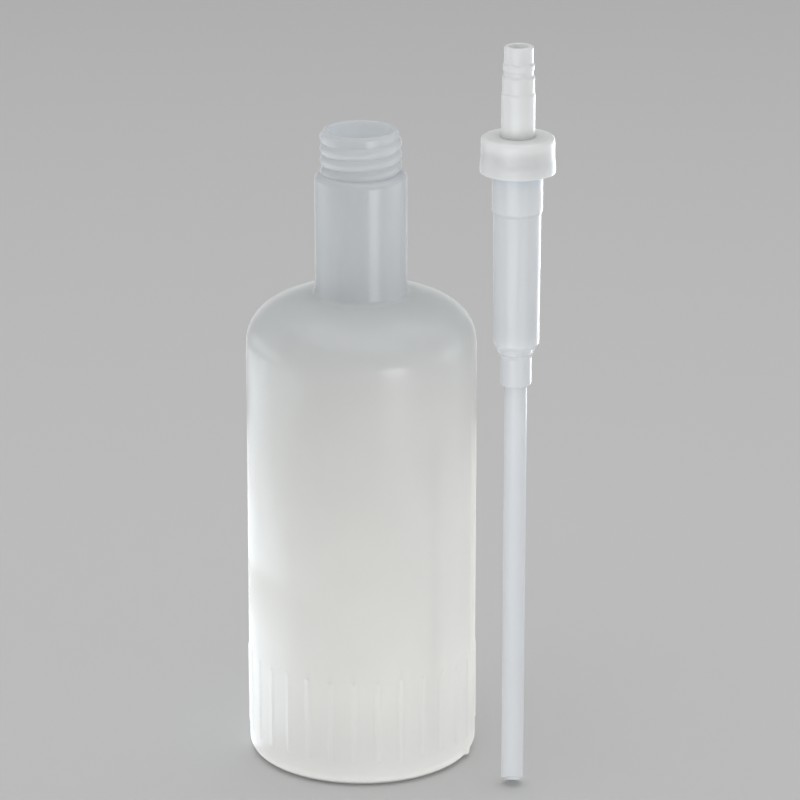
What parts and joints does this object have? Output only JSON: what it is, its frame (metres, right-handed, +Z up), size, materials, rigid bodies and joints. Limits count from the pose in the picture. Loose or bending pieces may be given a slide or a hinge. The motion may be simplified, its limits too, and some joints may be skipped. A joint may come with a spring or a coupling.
{
  "type": "wash bottle with pump insert",
  "caption": "Translucent round laboratory wash bottle with a long threaded neck, and beside it the hand-pump insert with collar, stem and dip tube that fits its mouth.",
  "frame": {"origin": "centre of the bottle's foot, on the surface it stands on", "axes": "+Z up along the bottle's axis; +X towards the pump insert that stands beside the bottle; the insert stands a little in front, towards -Y"},
  "size_m": [0.0928, 0.0798, 0.2338],
  "materials": {
    "milky_polyethylene": "milky translucent low-density polyethylene, satin",
    "clear_tube": "frosted translucent tube",
    "housing_plastic": "cool translucent polypropylene, satin",
    "white_plastic": "natural white polypropylene, satin",
    "soft_piston": "soft natural polyethylene",
    "washer_foam": "pale foam sealing washer",
    "spring_steel": "bright drawn stainless wire",
    "valve_ball": "polished stainless ball"
  },
  "bodies": {
    "bottle_body": {"bottle": "milky_polyethylene"},
    "insert_body": {"pump_housing": "housing_plastic", "collar": "white_plastic", "sealing_washer": "washer_foam", "dip_tube": "clear_tube", "ball_cage": "housing_plastic", "return_spring": "spring_steel"},
    "plunger": {"stem": "white_plastic", "piston_rod": "white_plastic", "piston": "soft_piston"},
    "inlet_valve": {"inlet_ball": "valve_ball"},
    "outlet_valve": {"outlet_ball": "valve_ball"}
  },
  "joints": [
    {"name": "insert_lift", "type": "slide", "parent": "bottle_body", "child": "insert_body", "axis": [0, 0, 1], "range_m": [0, 0.205]},
    {"name": "pump_stroke", "type": "slide", "parent": "insert_body", "child": "plunger", "axis": [0, 0, -1], "range_m": [0, 0.018], "stiffness_N_per_m": 300, "springref_m": -0.004, "deforming": ["return_spring"]},
    {"name": "inlet_ball_lift", "type": "slide", "parent": "insert_body", "child": "inlet_valve", "axis": [0, 0, 1], "range_m": [0, 0.0022]},
    {"name": "outlet_ball_lift", "type": "slide", "parent": "plunger", "child": "outlet_valve", "axis": [0, 0, 1], "range_m": [0, 0.002]}
  ]
}
